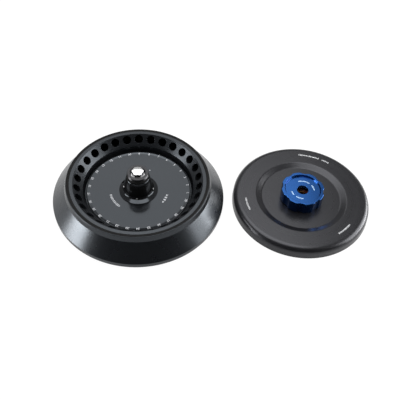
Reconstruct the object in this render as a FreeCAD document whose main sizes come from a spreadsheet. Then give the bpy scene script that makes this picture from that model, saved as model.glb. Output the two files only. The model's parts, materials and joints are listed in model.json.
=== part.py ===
"""Fixed angle rotor for thirty microtubes, with its screw-down lid lying beside it.

All lengths are millimetres. The rotor stands on the plane Z = 0 with its axis of rotation on Z,
and the lid lies on the same plane. Every size is a cell of the sheet "dims"; the features read
the cells through expressions, so a change in one cell carries through every piece that fits it.
"""
import FreeCAD, Part
import math
import os

import Sketcher

# Driving sizes: name, value, meaning.
SIZES = [
    # rotor body, radii from the axis and heights above the base
    ("foot_round", 4.0, "rounding of the bottom outer edge"),
    ("band_top", 8.5, "top of the short upright band above the foot"),
    ("shoulder_out", 2.0, "how far the rim band's foot lies outside its top"),
    ("shoulder_deep", 6.5, "height of the rim band, from the outer cone to the rim"),
    ("rim_high", 37.0, "height of the rim and ledge"),
    ("rim_round", 0.9, "rounding of the outer rim edge"),
    ("rim_wall", 1.0, "metal outside the seal groove"),
    ("seal_wide", 3.5, "width of the rim seal groove"),
    ("seal_deep", 2.5, "depth of the rim seal groove"),
    ("seal_gap", 0.05, "side clearance of the rim seal in its groove"),
    ("seal_crown", 0.5, "height of the rim seal's crown above the rim"),
    ("ledge_wide", 4.3, "flat ledge between the seal groove and the conical face"),
    ("cone_out", 5.2, "reach of the conical face outside the circle of the bore mouths"),
    ("cone_in", 6.9, "reach of the conical face inside that circle"),
    ("moat_high", 13.5, "floor of the moat that catches spilt liquid"),
    ("moat_wide", 3.5, "width of the moat"),
    ("moat_round", 3.0, "hollow rounding of the moat's outer bottom corner"),
    ("floor_high", 17.5, "top of the bowl floor"),
    ("floor_round", 1.2, "rounding of the floor's outer edge"),
    ("lip_high", 0.5, "height of the lip round the floor's edge"),
    ("lip_wide", 2.6, "width of the lip's slope down to the floor"),
    ("boss_rad", 32.0, "radius of the underside boss"),
    ("recess_rad", 70.0, "outer radius of the underside recess"),
    ("recess_deep", 8.0, "depth of the underside recess"),
    ("recess_draft", 1.5, "widening of the recess at the base"),
    # tube bores
    ("bore_count", 30, "number of tube bores"),
    ("bore_tilt", 45.0, "angle of each bore from the axis of rotation"),
    ("bore_rad", 5.6, "radius of each tube bore"),
    ("bore_deep", 36.0, "depth of each bore along its axis"),
    ("bore_tip", 3.2, "length of the tapered bore end"),
    ("bore_end", 2.6, "radius of the flat at the bore end"),
    ("bore_circle", 77.2, "radius of the circle through the bore mouths"),
    ("bore_cover", 7.34, "metal between the bore ends' middle and the body's outside"),
    ("turn_rotor", -1.07, "turn of the first bore about the axis, degrees"),
    # hub
    ("stem_rad", 13.0, "radius of the hub stem inside the body"),
    ("stem_gap", 0.03, "clearance of the stem in the body"),
    ("head_room", 9.4, "radius of the recess round the bolt head"),
    ("seat_deep", 5.4, "depth of the bolt seat below the collar's top"),
    ("spigot_wall", 1.0, "wall of the spigot round that recess"),
    ("spigot_grip", 2.5, "length of the spigot inside the collar"),
    ("collar_wall", 2.9, "reach of the threaded collar ring outside the spigot"),
    ("collar_lip", 1.1, "height of the collar's lip above the spigot"),
    ("collar_edge", 0.4, "bevel of the collar's top edge"),
    ("ring_gap", 0.03, "clearance between collar and spigot"),
    ("neck_high", 25.1, "height of the neck's top above the floor"),
    ("neck_land", 0.4, "reach of the neck beyond its O-ring"),
    ("neck_edge", 0.4, "bevel of the neck's top edge"),
    ("neck_long", 4.6, "height of the curved shoulder from the bell's flank to the neck's top"),
    ("neck_flare", 1.3, "widening of that shoulder"),
    ("neck_bulge", 13.0, "radius of that shoulder"),
    ("bell_flare", 2.3, "widening of the bell's flank towards its foot"),
    ("bell_bulge", 90.0, "radius of the bell's flank"),
    ("bell_fillet", 4.5, "radius of the hollow curve from the flank to the flange"),
    ("fillet_wide", 2.1, "width of that curve"),
    ("fillet_high", 3.0, "height of that curve"),
    ("flange_wide", 4.5, "width of the flange's sloping top"),
    ("flange_rise", 2.0, "rise of the flange's sloping top"),
    ("flange_edge", 0.9, "height of the flange's upright edge"),
    ("web_thick", 6.6, "thickness of the web under the bolt seat"),
    ("bolt_hole", 4.3, "radius of the hole through the web"),
    ("sleeve_rad", 10.5, "outer radius of the shaft sleeve"),
    ("sleeve_long", 22.0, "length of the shaft sleeve"),
    ("shaft_rad", 8.0, "radius of the bore for the drive shaft"),
    ("shaft_relief", 0.4, "extra radius of the room above the sleeve"),
    ("sleeve_gap", 0.02, "clearance of the sleeve in the hub"),
    ("neck_seal", 1.9, "section radius of the neck O-ring"),
    ("base_seal", 0.6, "section radius of the seal under the flange"),
    ("base_seal_room", 0.75, "half width of its groove"),
    # hub screws and drive pins
    ("screw_count", 4, "number of hub screws"),
    ("screw_circle", 17.6, "radius of the hub screw circle"),
    ("screw_rad", 2.0, "radius of the hub screw thread"),
    ("screw_room", 0.25, "clearance of the screws in the body"),
    ("screw_bite", 4.0, "screw thread inside the hub"),
    ("tap_gap", 0.01, "clearance of that thread in the hub"),
    ("screw_head", 3.5, "radius of the screw head"),
    ("screw_sink", 5.0, "depth of the screw head's counterbore"),
    ("screw_head_long", 4.0, "length of the screw head"),
    ("screw_key", 1.5, "half the width across flats of the screw's socket"),
    ("screw_key_deep", 2.0, "depth of the screw's socket"),
    ("pin_count", 2, "number of drive pins"),
    ("pin_circle", 42.0, "radius of the drive pin circle"),
    ("pin_rad", 2.5, "radius of a drive pin"),
    ("pin_bed", 7.0, "drive pin length pressed into the body"),
    ("pin_short", 1.0, "height of the pin's free end above the base plane"),
    ("pin_gap", 0.01, "clearance of a drive pin in its hole"),
    # clamp bolt
    ("bolt_rad", 4.0, "radius of the bolt thread"),
    ("bolt_flats", 13.0, "bolt head across flats"),
    ("bolt_head", 7.5, "height of the bolt head"),
    ("bolt_crown", 0.9, "height of the domed top of the bolt head"),
    ("turn_bolt", 5.0, "turn of the head's first corner about the axis, degrees"),
    ("bolt_tip", 24.0, "height of the bolt's lower end"),
    ("bolt_bevel", 0.8, "bevel of the bolt's lower end"),
    ("bolt_neck", 0.6, "depth of the snap ring groove in the bolt"),
    ("washer_room", 0.8, "room between the bolt washer and the recess round it"),
    ("washer_thick", 1.6, "thickness of the bolt washer"),
    ("washer_gap", 0.06, "running clearance of bolt and washer"),
    ("snap_thick", 1.2, "thickness of the bolt's snap ring"),
    ("snap_rad", 6.4, "outer radius of the bolt's snap ring"),
    ("snap_gap", 3.4, "opening of the bolt's snap ring"),
    ("bolt_lift", 3.6, "how far the bolt lifts before its ring meets the web"),
    # lid
    ("lid_beside", 11.8, "room between the rotor and the lid beside it, along X"),
    ("lid_aside", 6.0, "offset of the lid's axis along Y"),
    ("lid_inset", 2.2, "how far the lid's side lies inside the rotor's rim"),
    ("lid_draft", 0.5, "narrowing of the lid's side towards the shoulder"),
    ("lid_bevel", 0.9, "bevel of the lid's bottom edge"),
    ("lid_high", 15.3, "height of the lid's outer flat"),
    ("lid_round", 8.0, "radius of the lid's shoulder"),
    ("lid_wall", 4.0, "thickness of the lid's plate"),
    ("lid_rim", 5.5, "thickness of the lid's side wall at its foot"),
    ("under_draft", 0.5, "narrowing of the lid's hollow towards the plate"),
    ("step_rad", 58.7, "outer radius of the step down to the dish"),
    ("step_wide", 7.2, "width of the sloped step"),
    ("dish_high", 11.8, "height of the dished middle of the lid"),
    ("step_shift", 0.5, "how far the step's underside lies outside its top"),
    ("step_round", 4.0, "rounding of the step's two edges"),
    ("boss_wall", 3.6, "wall of the boss round the lid's bush"),
    ("boss_low", 3.6, "height of the boss's underside above the lid's foot"),
    ("bush_wall", 3.0, "wall of the lid's bush"),
    ("bush_gap", 0.02, "clearance of the bush in the lid"),
    ("bush_seal", 1.0, "section radius of the O-ring inside the bush"),
    ("bush_seal_high", 7.6, "height of that O-ring"),
    # knob
    ("knob_rad", 27.5, "radius over the knob's lobes"),
    ("knob_high", 29.5, "height of the knob's rim"),
    ("knob_round", 0.6, "rounding of the knob's outer edges"),
    ("lobe_round", 2.0, "rounding of the corners between lobes and hollows"),
    ("dish_rad", 23.4, "radius of the dished top of the knob"),
    ("dish_floor", 26.4, "height of the dished top"),
    ("dish_slope", 1.3, "run of the slope from rim to dish"),
    ("lobe_count", 8, "number of lobes"),
    ("scallop_rad", 12.0, "radius of the hollows between the lobes"),
    ("scallop_deep", 1.7, "depth of the hollows"),
    ("turn_knob", 37.5, "turn of the first hollow about the knob's axis, degrees"),
    ("key_rad", 7.4, "radius of the key hole in the knob's top"),
    ("top_thick", 3.8, "thickness of the knob's top"),
    ("hollow_rad", 12.4, "radius of the hollow under the knob's top"),
    ("spindle_wall", 2.1, "wall of the knob's spindle round the insert"),
    ("spindle_gap", 0.05, "running clearance of the spindle in the bush"),
    ("spindle_low", 0.6, "height of the spindle's lower end"),
    ("insert_wall", 1.3, "wall of the threaded insert's skirt"),
    ("insert_gap", 0.02, "clearance of the insert in the knob"),
    ("skirt_room", 0.3, "radial room between the bell's top and the insert's skirt"),
    ("thread_late", 0.5, "how far above the collar's underside the insert's thread begins"),
    ("thread_gap", 0.1, "radial clearance of the insert's thread on the collar"),
    ("thread_deep", 0.5, "depth of the collar thread"),
    ("knob_seal_thick", 2.5, "thickness of the seal ring above the insert"),
    ("knob_seal_rad", 9.8, "inner radius of that seal ring"),
    ("clip_low", 1.7, "height of the circlip's underside"),
    ("clip_thick", 1.2, "thickness of the circlip"),
    ("clip_deep", 0.8, "depth of the circlip groove"),
    ("clip_out", 2.6, "how far the circlip stands out of the spindle"),
    ("clip_gap", 8.0, "opening of the circlip"),
    ("slide_thick", 0.7, "thickness of the slide washer under the knob"),
    ("slide_rad", 24.6, "outer radius of the slide washer"),
    ("slide_gap", 0.1, "play of the knob between its two washers"),
]

FULL_TURN = 360.0
SIXTH_TURN = 60.0
NEAR = 0.01  # how close an edge must lie to where it is looked for
LEAST_CUT = 1e-6  # the least volume that a pocket must take away


class Size:
    """A length or angle that knows both its number and the expression it comes from."""

    def __init__(self, value, text):
        self.value = float(value)
        self.text = text

    @staticmethod
    def of(other):
        return other if isinstance(other, Size) else Size(other, repr(other))

    def __add__(self, other):
        other = Size.of(other)
        return Size(self.value + other.value, f"({self.text} + {other.text})")

    def __sub__(self, other):
        other = Size.of(other)
        return Size(self.value - other.value, f"({self.text} - {other.text})")

    def __mul__(self, other):
        other = Size.of(other)
        return Size(self.value * other.value, f"({self.text} * {other.text})")

    def __truediv__(self, other):
        other = Size.of(other)
        return Size(self.value / other.value, f"({self.text} / {other.text})")

    def __neg__(self):
        return Size(-self.value, f"(-1 * {self.text})")


def cosine(angle):
    return Size(math.cos(math.radians(angle.value)), f"cos({angle.text} * 1 deg)")


def sine(angle):
    return Size(math.sin(math.radians(angle.value)), f"sin({angle.text} * 1 deg)")


doc = FreeCAD.newDocument("rotor")


def write_sheet():
    """The sheet of driving sizes: column A the meaning, column B the number with its alias."""
    sheet = doc.addObject("Spreadsheet::Sheet", "dims")
    found = {}
    for row, (name, value, meaning) in enumerate(SIZES, start=1):
        sheet.set(f"A{row}", meaning)
        sheet.set(f"B{row}", str(value))
        sheet.setAlias(f"B{row}", name)
        found[name] = Size(value, f"dims.{name}")
    return found


class Sizes:
    """The sheet's sizes as attributes: d.bore_rad is the cell named bore_rad."""

    def __init__(self, found):
        self.__dict__.update(found)


d = Sizes(write_sheet())
doc.recompute()
ZERO = Size(0.0, "0")

# Radii outward from the circle of the bore mouths; the body covers the bores' ends.
CONE_RAD = d.bore_circle + d.cone_out
CONE_FOOT = d.bore_circle - d.cone_in
SEAL_IN = CONE_RAD + d.ledge_wide
SEAL_OUT = SEAL_IN + d.seal_wide
RIM_RAD = SEAL_OUT + d.rim_wall
BODY_RAD = d.bore_circle + d.bore_deep * sine(d.bore_tilt) + d.bore_cover

# The lid seals on the rotor's rim, and lies beside the body.
LID_RAD = RIM_RAD - d.lid_inset
LID_AWAY = BODY_RAD + LID_RAD + d.lid_beside

# Radii of the hub outward from the recess round the bolt head, and its heights above the floor.
SPIGOT_RAD = d.head_room + d.spigot_wall
COLLAR_RAD = SPIGOT_RAD + d.collar_wall
NECK_RAD = SPIGOT_RAD + d.neck_seal * 2 + d.neck_land
BELL_TOP = NECK_RAD + d.neck_flare
BELL_FOOT = BELL_TOP + d.bell_flare
FLANGE_IN = BELL_FOOT + d.fillet_wide
FLANGE_RAD = FLANGE_IN + d.flange_wide
BASE_SEAL_RAD = (d.screw_circle + d.screw_rad + FLANGE_RAD) / 2
FILLET_LOW = d.flange_edge + d.flange_rise
COLLAR_LOW = d.neck_high + d.neck_seal * 2
SPIGOT_HIGH = COLLAR_LOW + d.spigot_grip
COLLAR_HIGH = SPIGOT_HIGH + d.collar_lip
SEAT_HIGH = COLLAR_HIGH - d.seat_deep

# When the lid is closed its foot is level with the rotor's rim, and the insert meets the collar.
INSERT_HIGH = d.floor_high + COLLAR_HIGH - d.rim_high
THREAD_LOW = d.floor_high + COLLAR_LOW + d.thread_late - d.rim_high

# Radii outward from the bell's top, over which the knob's spindle comes down with the lid.
SKIRT_RAD = BELL_TOP + d.skirt_room
INSERT_RAD = SKIRT_RAD + d.insert_wall
SPINDLE_RAD = INSERT_RAD + d.spindle_wall
SPINDLE_ROOM = SPINDLE_RAD + d.spindle_gap
BUSH_RAD = SPINDLE_RAD + d.bush_wall
BOSS_RAD = BUSH_RAD + d.boss_wall
CLIP_RAD = SPINDLE_RAD + d.clip_out

# A hexagon's corner lies this much further out than its flats.
CORNER = 2 / math.sqrt(3)


def new_body(label):
    body = doc.addObject("PartDesign::Body", label)
    body.Label = label
    return body


def origin_plane(body, role):
    return next(f for f in body.Origin.OriginFeatures if f.Role == role)


def new_sketch(body, name, role="XZ_Plane", lift=None):
    sketch = body.newObject("Sketcher::SketchObject", name)
    sketch.AttachmentSupport = [(origin_plane(body, role), "")]
    sketch.MapMode = "FlatFace"
    if lift is not None:
        sketch.setExpression("AttachmentOffset.Base.z", lift.text)
        sketch.AttachmentOffset = FreeCAD.Placement(
            FreeCAD.Vector(0, 0, lift.value), FreeCAD.Rotation()
        )
    return sketch


def fix(sketch, kind, geometry, size, *more):
    """Add a constraint whose value is an expression of the sheet."""
    index = sketch.addConstraint(Sketcher.Constraint(kind, geometry, *more, size.value))
    sketch.setExpression(f"Constraints[{index}]", size.text)


def pin_point(sketch, geometry, point, across, up):
    """Tie one sketch point to the sketch's origin by its two coordinates."""
    fix(sketch, "DistanceX", -1, across, 1, geometry, point)
    fix(sketch, "DistanceY", -1, up, 1, geometry, point)


def arc_middle(start, end, radius):
    """Middle point of a short arc that bulges to the right of its way, or left if radius < 0."""
    ax, ay = start
    bx, by = end
    chord = math.hypot(bx - ax, by - ay)
    side = 1.0 if radius > 0 else -1.0
    rise = abs(radius) - math.sqrt(max(radius * radius - chord * chord / 4.0, 0.0))
    return (
        (ax + bx) / 2.0 + side * rise * (by - ay) / chord,
        (ay + by) / 2.0 - side * rise * (bx - ax) / chord,
    )


def draw_profile(sketch, corners):
    """Closed outline through the corners, each an (across, up) pair of sizes.

    A third entry is the radius of an arc that leads to that corner from the one before it;
    the arc bulges to the right of its way, or to the left if the radius is negative.
    """
    places = [(c[0].value, c[1].value) for c in corners]
    for n, corner in enumerate(corners):
        start, end = places[n - 1], places[n]
        first = FreeCAD.Vector(*start, 0)
        last = FreeCAD.Vector(*end, 0)
        if len(corner) == 2:
            sketch.addGeometry(Part.LineSegment(first, last), False)
        else:
            middle = FreeCAD.Vector(*arc_middle(start, end, corner[2].value), 0)
            sketch.addGeometry(Part.Arc(first, middle, last), False)
    count = len(corners)
    for n in range(count):
        ahead = (n + 1) % count
        end = end_at(sketch, n, places[n])
        start = end_at(sketch, ahead, places[n])
        sketch.addConstraint(Sketcher.Constraint("Coincident", n, end, ahead, start))
        pin_point(sketch, n, end, corners[n][0], corners[n][1])
        if len(corners[n]) == 3:
            size = corners[n][2]
            fix(sketch, "Radius", n, size if size.value > 0 else -size)


def end_at(sketch, geometry, place):
    """Number (1 or 2) of the end of this sketch piece that lies at place."""
    here = FreeCAD.Vector(*place, 0)
    near = [(sketch.getPoint(geometry, k) - here).Length for k in (1, 2)]
    return 1 if near[0] < near[1] else 2


def new_revolution(body, name, sketch):
    feature = body.newObject("PartDesign::Revolution", name)
    feature.Profile = (sketch, [""])
    feature.ReferenceAxis = (sketch, ["V_Axis"])
    feature.Angle = FULL_TURN
    return feature


def turned_piece(label, corners):
    """A lathe-turned piece: one half outline revolved about Z."""
    body = new_body(label)
    sketch = new_sketch(body, f"{label}_outline")
    draw_profile(sketch, corners)
    feature = new_revolution(body, f"{label}_turning", sketch)
    doc.recompute()
    return body, feature


def circles_of(body, radius, height):
    """Names of the circular edges of this radius at this height on the body's axis."""
    names = []
    for n, edge in enumerate(body.Shape.Edges, start=1):
        if not isinstance(edge.Curve, Part.Circle):
            continue
        centre = edge.Curve.Center
        if abs(edge.Curve.Radius - radius.value) > NEAR:
            continue
        if abs(centre.z - height.value) < NEAR and math.hypot(centre.x, centre.y) < NEAR:
            names.append(f"Edge{n}")
    return names


def dress(body, kind, name, size, circles):
    """A fillet or chamfer on the named circles of the body's tip."""
    base = body.Tip
    edges = [name for radius, height in circles for name in circles_of(body, radius, height)]
    feature = body.newObject(f"PartDesign::{kind}", name)
    feature.Base = (base, edges)
    prop = "Radius" if kind == "Fillet" else "Size"
    setattr(feature, prop, size.value)
    feature.setExpression(prop, size.text)
    doc.recompute()
    return feature


def cut_round(body, name, across, up, radius, deep, start, upward=True):
    """A round pocket parallel to Z, from the height start, going up or down into the body."""
    sketch = new_sketch(body, f"{name}_circle", "XY_Plane", start)
    circle = Part.Circle(FreeCAD.Vector(across.value, up.value, 0), FreeCAD.Vector(0, 0, 1), radius.value)
    sketch.addGeometry(circle, False)
    pin_point(sketch, 0, 3, across, up)
    fix(sketch, "Radius", 0, radius)
    pocket = body.newObject("PartDesign::Pocket", name)
    pocket.Profile = (sketch, [""])
    pocket.Length = deep.value
    pocket.setExpression("Length", deep.text)
    pocket.Reversed = upward
    volume = body.Shape.Volume
    doc.recompute()
    if not body.Shape.Volume < volume - LEAST_CUT:
        raise ValueError(f"{name} cuts nothing")
    return pocket


def ring_of(body, name, features, sketch, count):
    """Repeat features evenly about the sketch's normal through its origin."""
    pattern = body.newObject("PartDesign::PolarPattern", name)
    pattern.Originals = features
    pattern.Axis = (sketch, ["N_Axis"])
    pattern.Angle = FULL_TURN
    pattern.Occurrences = int(count.value)
    pattern.setExpression("Occurrences", count.text)
    body.Tip = pattern
    doc.recompute()
    return pattern


def place(thing, x=ZERO, y=ZERO, z=ZERO, turn=None):
    """Placement of a sub-part, bound to the sheet."""
    angle = turn.value if turn else 0.0
    thing.Placement = FreeCAD.Placement(
        FreeCAD.Vector(x.value, y.value, z.value),
        FreeCAD.Rotation(FreeCAD.Vector(0, 0, 1), angle),
    )
    for axis, size in (("x", x), ("y", y), ("z", z)):
        if size is not ZERO:
            thing.setExpression(f"Placement.Base.{axis}", size.text)
    if turn:
        thing.setExpression("Placement.Rotation.Angle", turn.text)


# Rotor body: one turning, thirty tilted bores, and the holes for screws and drive pins.

def make_rotor_body():
    hole = d.stem_rad + d.stem_gap
    cone_low = d.rim_high - (CONE_RAD - CONE_FOOT)
    moat_in = CONE_FOOT - d.moat_wide
    lip_top = d.floor_high + d.lip_high
    body, _ = turned_piece("rotor_body", [
        (hole, ZERO),
        (d.boss_rad, ZERO),
        (d.boss_rad, d.recess_deep),
        (d.recess_rad, d.recess_deep),
        (d.recess_rad + d.recess_draft, ZERO),
        (BODY_RAD - d.foot_round, ZERO),
        (BODY_RAD, d.foot_round, d.foot_round),
        (BODY_RAD, d.band_top),
        (RIM_RAD + d.shoulder_out, d.rim_high - d.shoulder_deep),
        (RIM_RAD, d.rim_high - d.rim_round),
        (RIM_RAD - d.rim_round, d.rim_high, d.rim_round),
        (SEAL_OUT, d.rim_high),
        (SEAL_OUT, d.rim_high - d.seal_deep),
        (SEAL_IN, d.rim_high - d.seal_deep),
        (SEAL_IN, d.rim_high),
        (CONE_RAD, d.rim_high),
        (CONE_FOOT, cone_low),
        (CONE_FOOT, d.moat_high + d.moat_round),
        (CONE_FOOT - d.moat_round, d.moat_high, -d.moat_round),
        (moat_in, d.moat_high),
        (moat_in, lip_top - d.floor_round),
        (moat_in - d.floor_round, lip_top, d.floor_round),
        (moat_in - d.floor_round - d.lip_wide, d.floor_high),
        (hole, d.floor_high),
    ])
    bore_sketch = draw_bore(body)
    groove = body.newObject("PartDesign::Groove", "tube_bore")
    groove.Profile = (bore_sketch, [""])
    groove.ReferenceAxis = (bore_sketch, ["Axis0"])
    groove.Angle = FULL_TURN
    doc.recompute()
    floor = new_sketch(body, "bore_centre", "XY_Plane")
    ring_of(body, "tube_bores", [groove], floor, d.bore_count)
    head = cut_round(body, "screw_sinks", d.screw_circle, ZERO, d.screw_head + d.screw_room,
                     d.screw_sink, ZERO)
    hole = cut_round(body, "screw_holes", d.screw_circle, ZERO, d.screw_rad + d.screw_room,
                     d.floor_high, ZERO)
    ring_of(body, "screw_ring", [head, hole], floor, d.screw_count)
    bed = cut_round(body, "pin_holes", d.pin_circle, ZERO, d.pin_rad + d.pin_gap,
                    d.pin_bed, d.recess_deep)
    ring_of(body, "pin_ring", [bed], floor, d.pin_count)
    place(body, turn=d.turn_rotor)
    return body


def draw_bore(body):
    """Half outline of one bore beside its tilted axis, which starts on the conical face.

    The bore starts a little outside the mouth, so that it is open across the whole cone.
    """
    sketch = new_sketch(body, "bore_outline")
    out_r, out_z = sine(d.bore_tilt), -cosine(d.bore_tilt)
    mouth_z = d.rim_high - d.cone_out

    def at(along, aside):
        return (
            d.bore_circle + out_r * along - out_z * aside,
            mouth_z + out_z * along + out_r * aside,
        )

    above = -d.bore_rad
    draw_profile(sketch, [
        at(above, ZERO),
        at(d.bore_deep, ZERO),
        at(d.bore_deep, d.bore_end),
        at(d.bore_deep - d.bore_tip, d.bore_rad),
        at(above, d.bore_rad),
    ])
    start, end = at(above, ZERO), at(d.bore_deep, ZERO)
    line = Part.LineSegment(
        FreeCAD.Vector(start[0].value, start[1].value, 0),
        FreeCAD.Vector(end[0].value, end[1].value, 0),
    )
    axis = sketch.addGeometry(line, True)
    pin_point(sketch, axis, 1, *start)
    pin_point(sketch, axis, 2, *end)
    return sketch


def make_rim_seal():
    """Rubber ring that fills the rim groove; its crowned top stands just proud of the rim."""
    outer = SEAL_OUT - d.seal_gap
    inner = SEAL_IN + d.seal_gap
    low = d.rim_high - d.seal_deep
    half = (outer - inner) / 2
    crown = (half * half + d.seal_crown * d.seal_crown) / (d.seal_crown * 2)
    body, _ = turned_piece("rim_seal", [
        (inner, low),
        (outer, low),
        (outer, d.rim_high),
        (inner, d.rim_high, crown),
    ])
    return body


def above_floor(size):
    return d.floor_high + size


def make_hub():
    """Hub: stem in the body, flange and bell on the bowl floor, neck, spigot and bolt seat."""
    sleeve_hole = d.sleeve_rad + d.sleeve_gap
    relief = d.shaft_rad + d.shaft_relief
    seat = above_floor(SEAT_HIGH)
    neck_top = above_floor(d.neck_high)
    seal_in = BASE_SEAL_RAD - d.base_seal_room
    seal_out = BASE_SEAL_RAD + d.base_seal_room
    seal_top = d.floor_high + d.base_seal * 2
    body, _ = turned_piece("hub", [
        (sleeve_hole, ZERO),
        (d.stem_rad, ZERO),
        (d.stem_rad, d.floor_high),
        (seal_in, d.floor_high),
        (seal_in, seal_top),
        (seal_out, seal_top),
        (seal_out, d.floor_high),
        (FLANGE_RAD, d.floor_high),
        (FLANGE_RAD, above_floor(d.flange_edge)),
        (FLANGE_IN, above_floor(FILLET_LOW)),
        (BELL_FOOT, above_floor(FILLET_LOW + d.fillet_high), -d.bell_fillet),
        (BELL_TOP, neck_top - d.neck_long, d.bell_bulge),
        (NECK_RAD, neck_top - d.neck_edge, d.neck_bulge),
        (NECK_RAD - d.neck_edge, neck_top),
        (SPIGOT_RAD, neck_top),
        (SPIGOT_RAD, above_floor(SPIGOT_HIGH)),
        (d.head_room, above_floor(SPIGOT_HIGH)),
        (d.head_room, seat),
        (d.bolt_hole, seat),
        (d.bolt_hole, seat - d.web_thick),
        (relief, seat - d.web_thick),
        (relief, d.sleeve_long),
        (sleeve_hole, d.sleeve_long),
    ])
    tapped = cut_round(body, "hub_threads", d.screw_circle, ZERO, d.screw_rad + d.tap_gap,
                       d.screw_bite, d.floor_high)
    floor = new_sketch(body, "hub_centre", "XY_Plane")
    ring_of(body, "hub_thread_ring", [tapped], floor, d.screw_count)
    place(body, turn=d.turn_rotor)
    return body


def make_shaft_sleeve():
    """Steel sleeve pressed into the hub, bored for the drive shaft."""
    body, _ = turned_piece("shaft_sleeve", [
        (d.shaft_rad, ZERO),
        (d.sleeve_rad, ZERO),
        (d.sleeve_rad, d.sleeve_long),
        (d.shaft_rad, d.sleeve_long),
    ])
    return body


def make_hub_collar():
    """Threaded ring on the spigot; it holds the neck O-ring and takes the knob's thread."""
    inner = SPIGOT_RAD + d.ring_gap
    low = above_floor(COLLAR_LOW)
    lip = above_floor(SPIGOT_HIGH + d.ring_gap)
    high = above_floor(COLLAR_HIGH)
    body, _ = turned_piece("hub_collar", [
        (inner, low),
        (COLLAR_RAD, low),
        (COLLAR_RAD, high),
        (d.head_room, high),
        (d.head_room, lip),
        (inner, lip),
    ])
    dress(body, "Chamfer", "collar_bevel", d.collar_edge, [(COLLAR_RAD, high), (d.head_room, high)])
    return body


def new_ring(label, middle, section, height):
    """An O-ring: a torus round the axis."""
    ring = doc.addObject("Part::Torus", label)
    ring.Label = label
    ring.Radius1 = middle.value
    ring.Radius2 = section.value
    ring.setExpression("Radius1", middle.text)
    ring.setExpression("Radius2", section.text)
    place(ring, z=height)
    return ring


def make_neck_o_ring():
    """O-ring in the groove between the neck's shoulder and the collar."""
    height = above_floor(d.neck_high + d.neck_seal)
    return new_ring("neck_o_ring", SPIGOT_RAD + d.neck_seal, d.neck_seal, height)


def make_base_o_ring():
    """O-ring under the flange that closes the bowl against the hub."""
    return new_ring("base_o_ring", BASE_SEAL_RAD, d.base_seal, above_floor(d.base_seal))


def cylinder(name, radius, height):
    shape = doc.addObject("Part::Cylinder", name)
    shape.Radius = radius.value
    shape.Height = height.value
    shape.setExpression("Radius", radius.text)
    shape.setExpression("Height", height.text)
    return shape


def hexagon(name, half_flats, height):
    """A hexagonal prism, given half its width across flats."""
    prism = doc.addObject("Part::Prism", name)
    prism.Polygon = 6
    corner = half_flats * CORNER
    prism.Circumradius = corner.value
    prism.Height = height.value
    prism.setExpression("Circumradius", corner.text)
    prism.setExpression("Height", height.text)
    return prism


def join(kind, name, base, tool):
    """A boolean of two shapes: Cut, Fuse or Common."""
    feature = doc.addObject(f"Part::{kind}", name)
    feature.Base = base
    feature.Tool = tool
    return feature


def ring_of_copies(label, make, count, circle, turn):
    """Identical small pieces on a circle, kept as separate solids of one node."""
    pieces = []
    for n in range(int(count.value)):
        piece = make(f"{label}_{n + 1}")
        angle = turn + Size.of(FULL_TURN) / count * n
        place(piece, circle * cosine(angle), circle * sine(angle), ZERO, angle)
        pieces.append(piece)
    group = doc.addObject("Part::Compound", label)
    group.Label = label
    group.Links = pieces
    return group


def make_hub_screw(name):
    """Socket head cap screw, pointing up, with its head in the body's counterbore."""
    head = cylinder(f"{name}_head", d.screw_head, d.screw_head_long)
    head_low = d.screw_sink - d.screw_head_long
    place(head, z=head_low)
    shank = cylinder(f"{name}_shank", d.screw_rad, d.floor_high + d.screw_bite - d.screw_sink)
    place(shank, z=d.screw_sink)
    socket = hexagon(f"{name}_socket", d.screw_key, d.screw_key_deep)
    place(socket, z=head_low)
    whole = join("Fuse", f"{name}_blank", head, shank)
    return join("Cut", name, whole, socket)


def make_hub_screws():
    return ring_of_copies("hub_screws", make_hub_screw, d.screw_count, d.screw_circle,
                          d.turn_rotor)


def make_drive_pin(name):
    """Dowel pressed into the body's underside, which the drive catches."""
    pin = cylinder(f"{name}_dowel", d.pin_rad, d.recess_deep + d.pin_bed - d.pin_short)
    place(pin, z=d.pin_short)
    group = doc.addObject("Part::Compound", name)
    group.Links = [pin]
    return group


def make_drive_pins():
    return ring_of_copies("drive_pins", make_drive_pin, d.pin_count, d.pin_circle, d.turn_rotor)


# Clamp bolt: held captive in the hub's web by its snap ring.

def washer_top():
    return above_floor(SEAT_HIGH + d.washer_thick)


def ring_low():
    """Underside of the bolt's snap ring when the bolt is down."""
    return above_floor(SEAT_HIGH) - d.web_thick - d.bolt_lift - d.snap_thick


def make_clamp_bolt():
    """Hexagon bolt: turned blank with a domed head, cut to six flats."""
    dome = d.bolt_flats / 2 * CORNER
    head_top = washer_top() + d.bolt_head
    groove = d.bolt_rad - d.bolt_neck
    crown = (dome * dome + d.bolt_crown * d.bolt_crown) / (d.bolt_crown * 2)
    body, _ = turned_piece("clamp_bolt", [
        (ZERO, d.bolt_tip),
        (d.bolt_rad - d.bolt_bevel, d.bolt_tip),
        (d.bolt_rad, d.bolt_tip + d.bolt_bevel),
        (d.bolt_rad, ring_low()),
        (groove, ring_low()),
        (groove, ring_low() + d.snap_thick),
        (d.bolt_rad, ring_low() + d.snap_thick),
        (d.bolt_rad, washer_top()),
        (dome, washer_top()),
        (dome, head_top - d.bolt_crown),
        (ZERO, head_top, crown),
    ])
    sketch = new_sketch(body, "bolt_flats", "XY_Plane", washer_top())
    draw_hexagon_ring(sketch, d.bolt_flats / 2, dome * 2, d.turn_bolt)
    flats = body.newObject("PartDesign::Pocket", "bolt_hexagon")
    flats.Profile = (sketch, [""])
    flats.Length = (d.bolt_head * 2).value
    flats.setExpression("Length", (d.bolt_head * 2).text)
    flats.Reversed = True
    doc.recompute()
    return body


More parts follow.
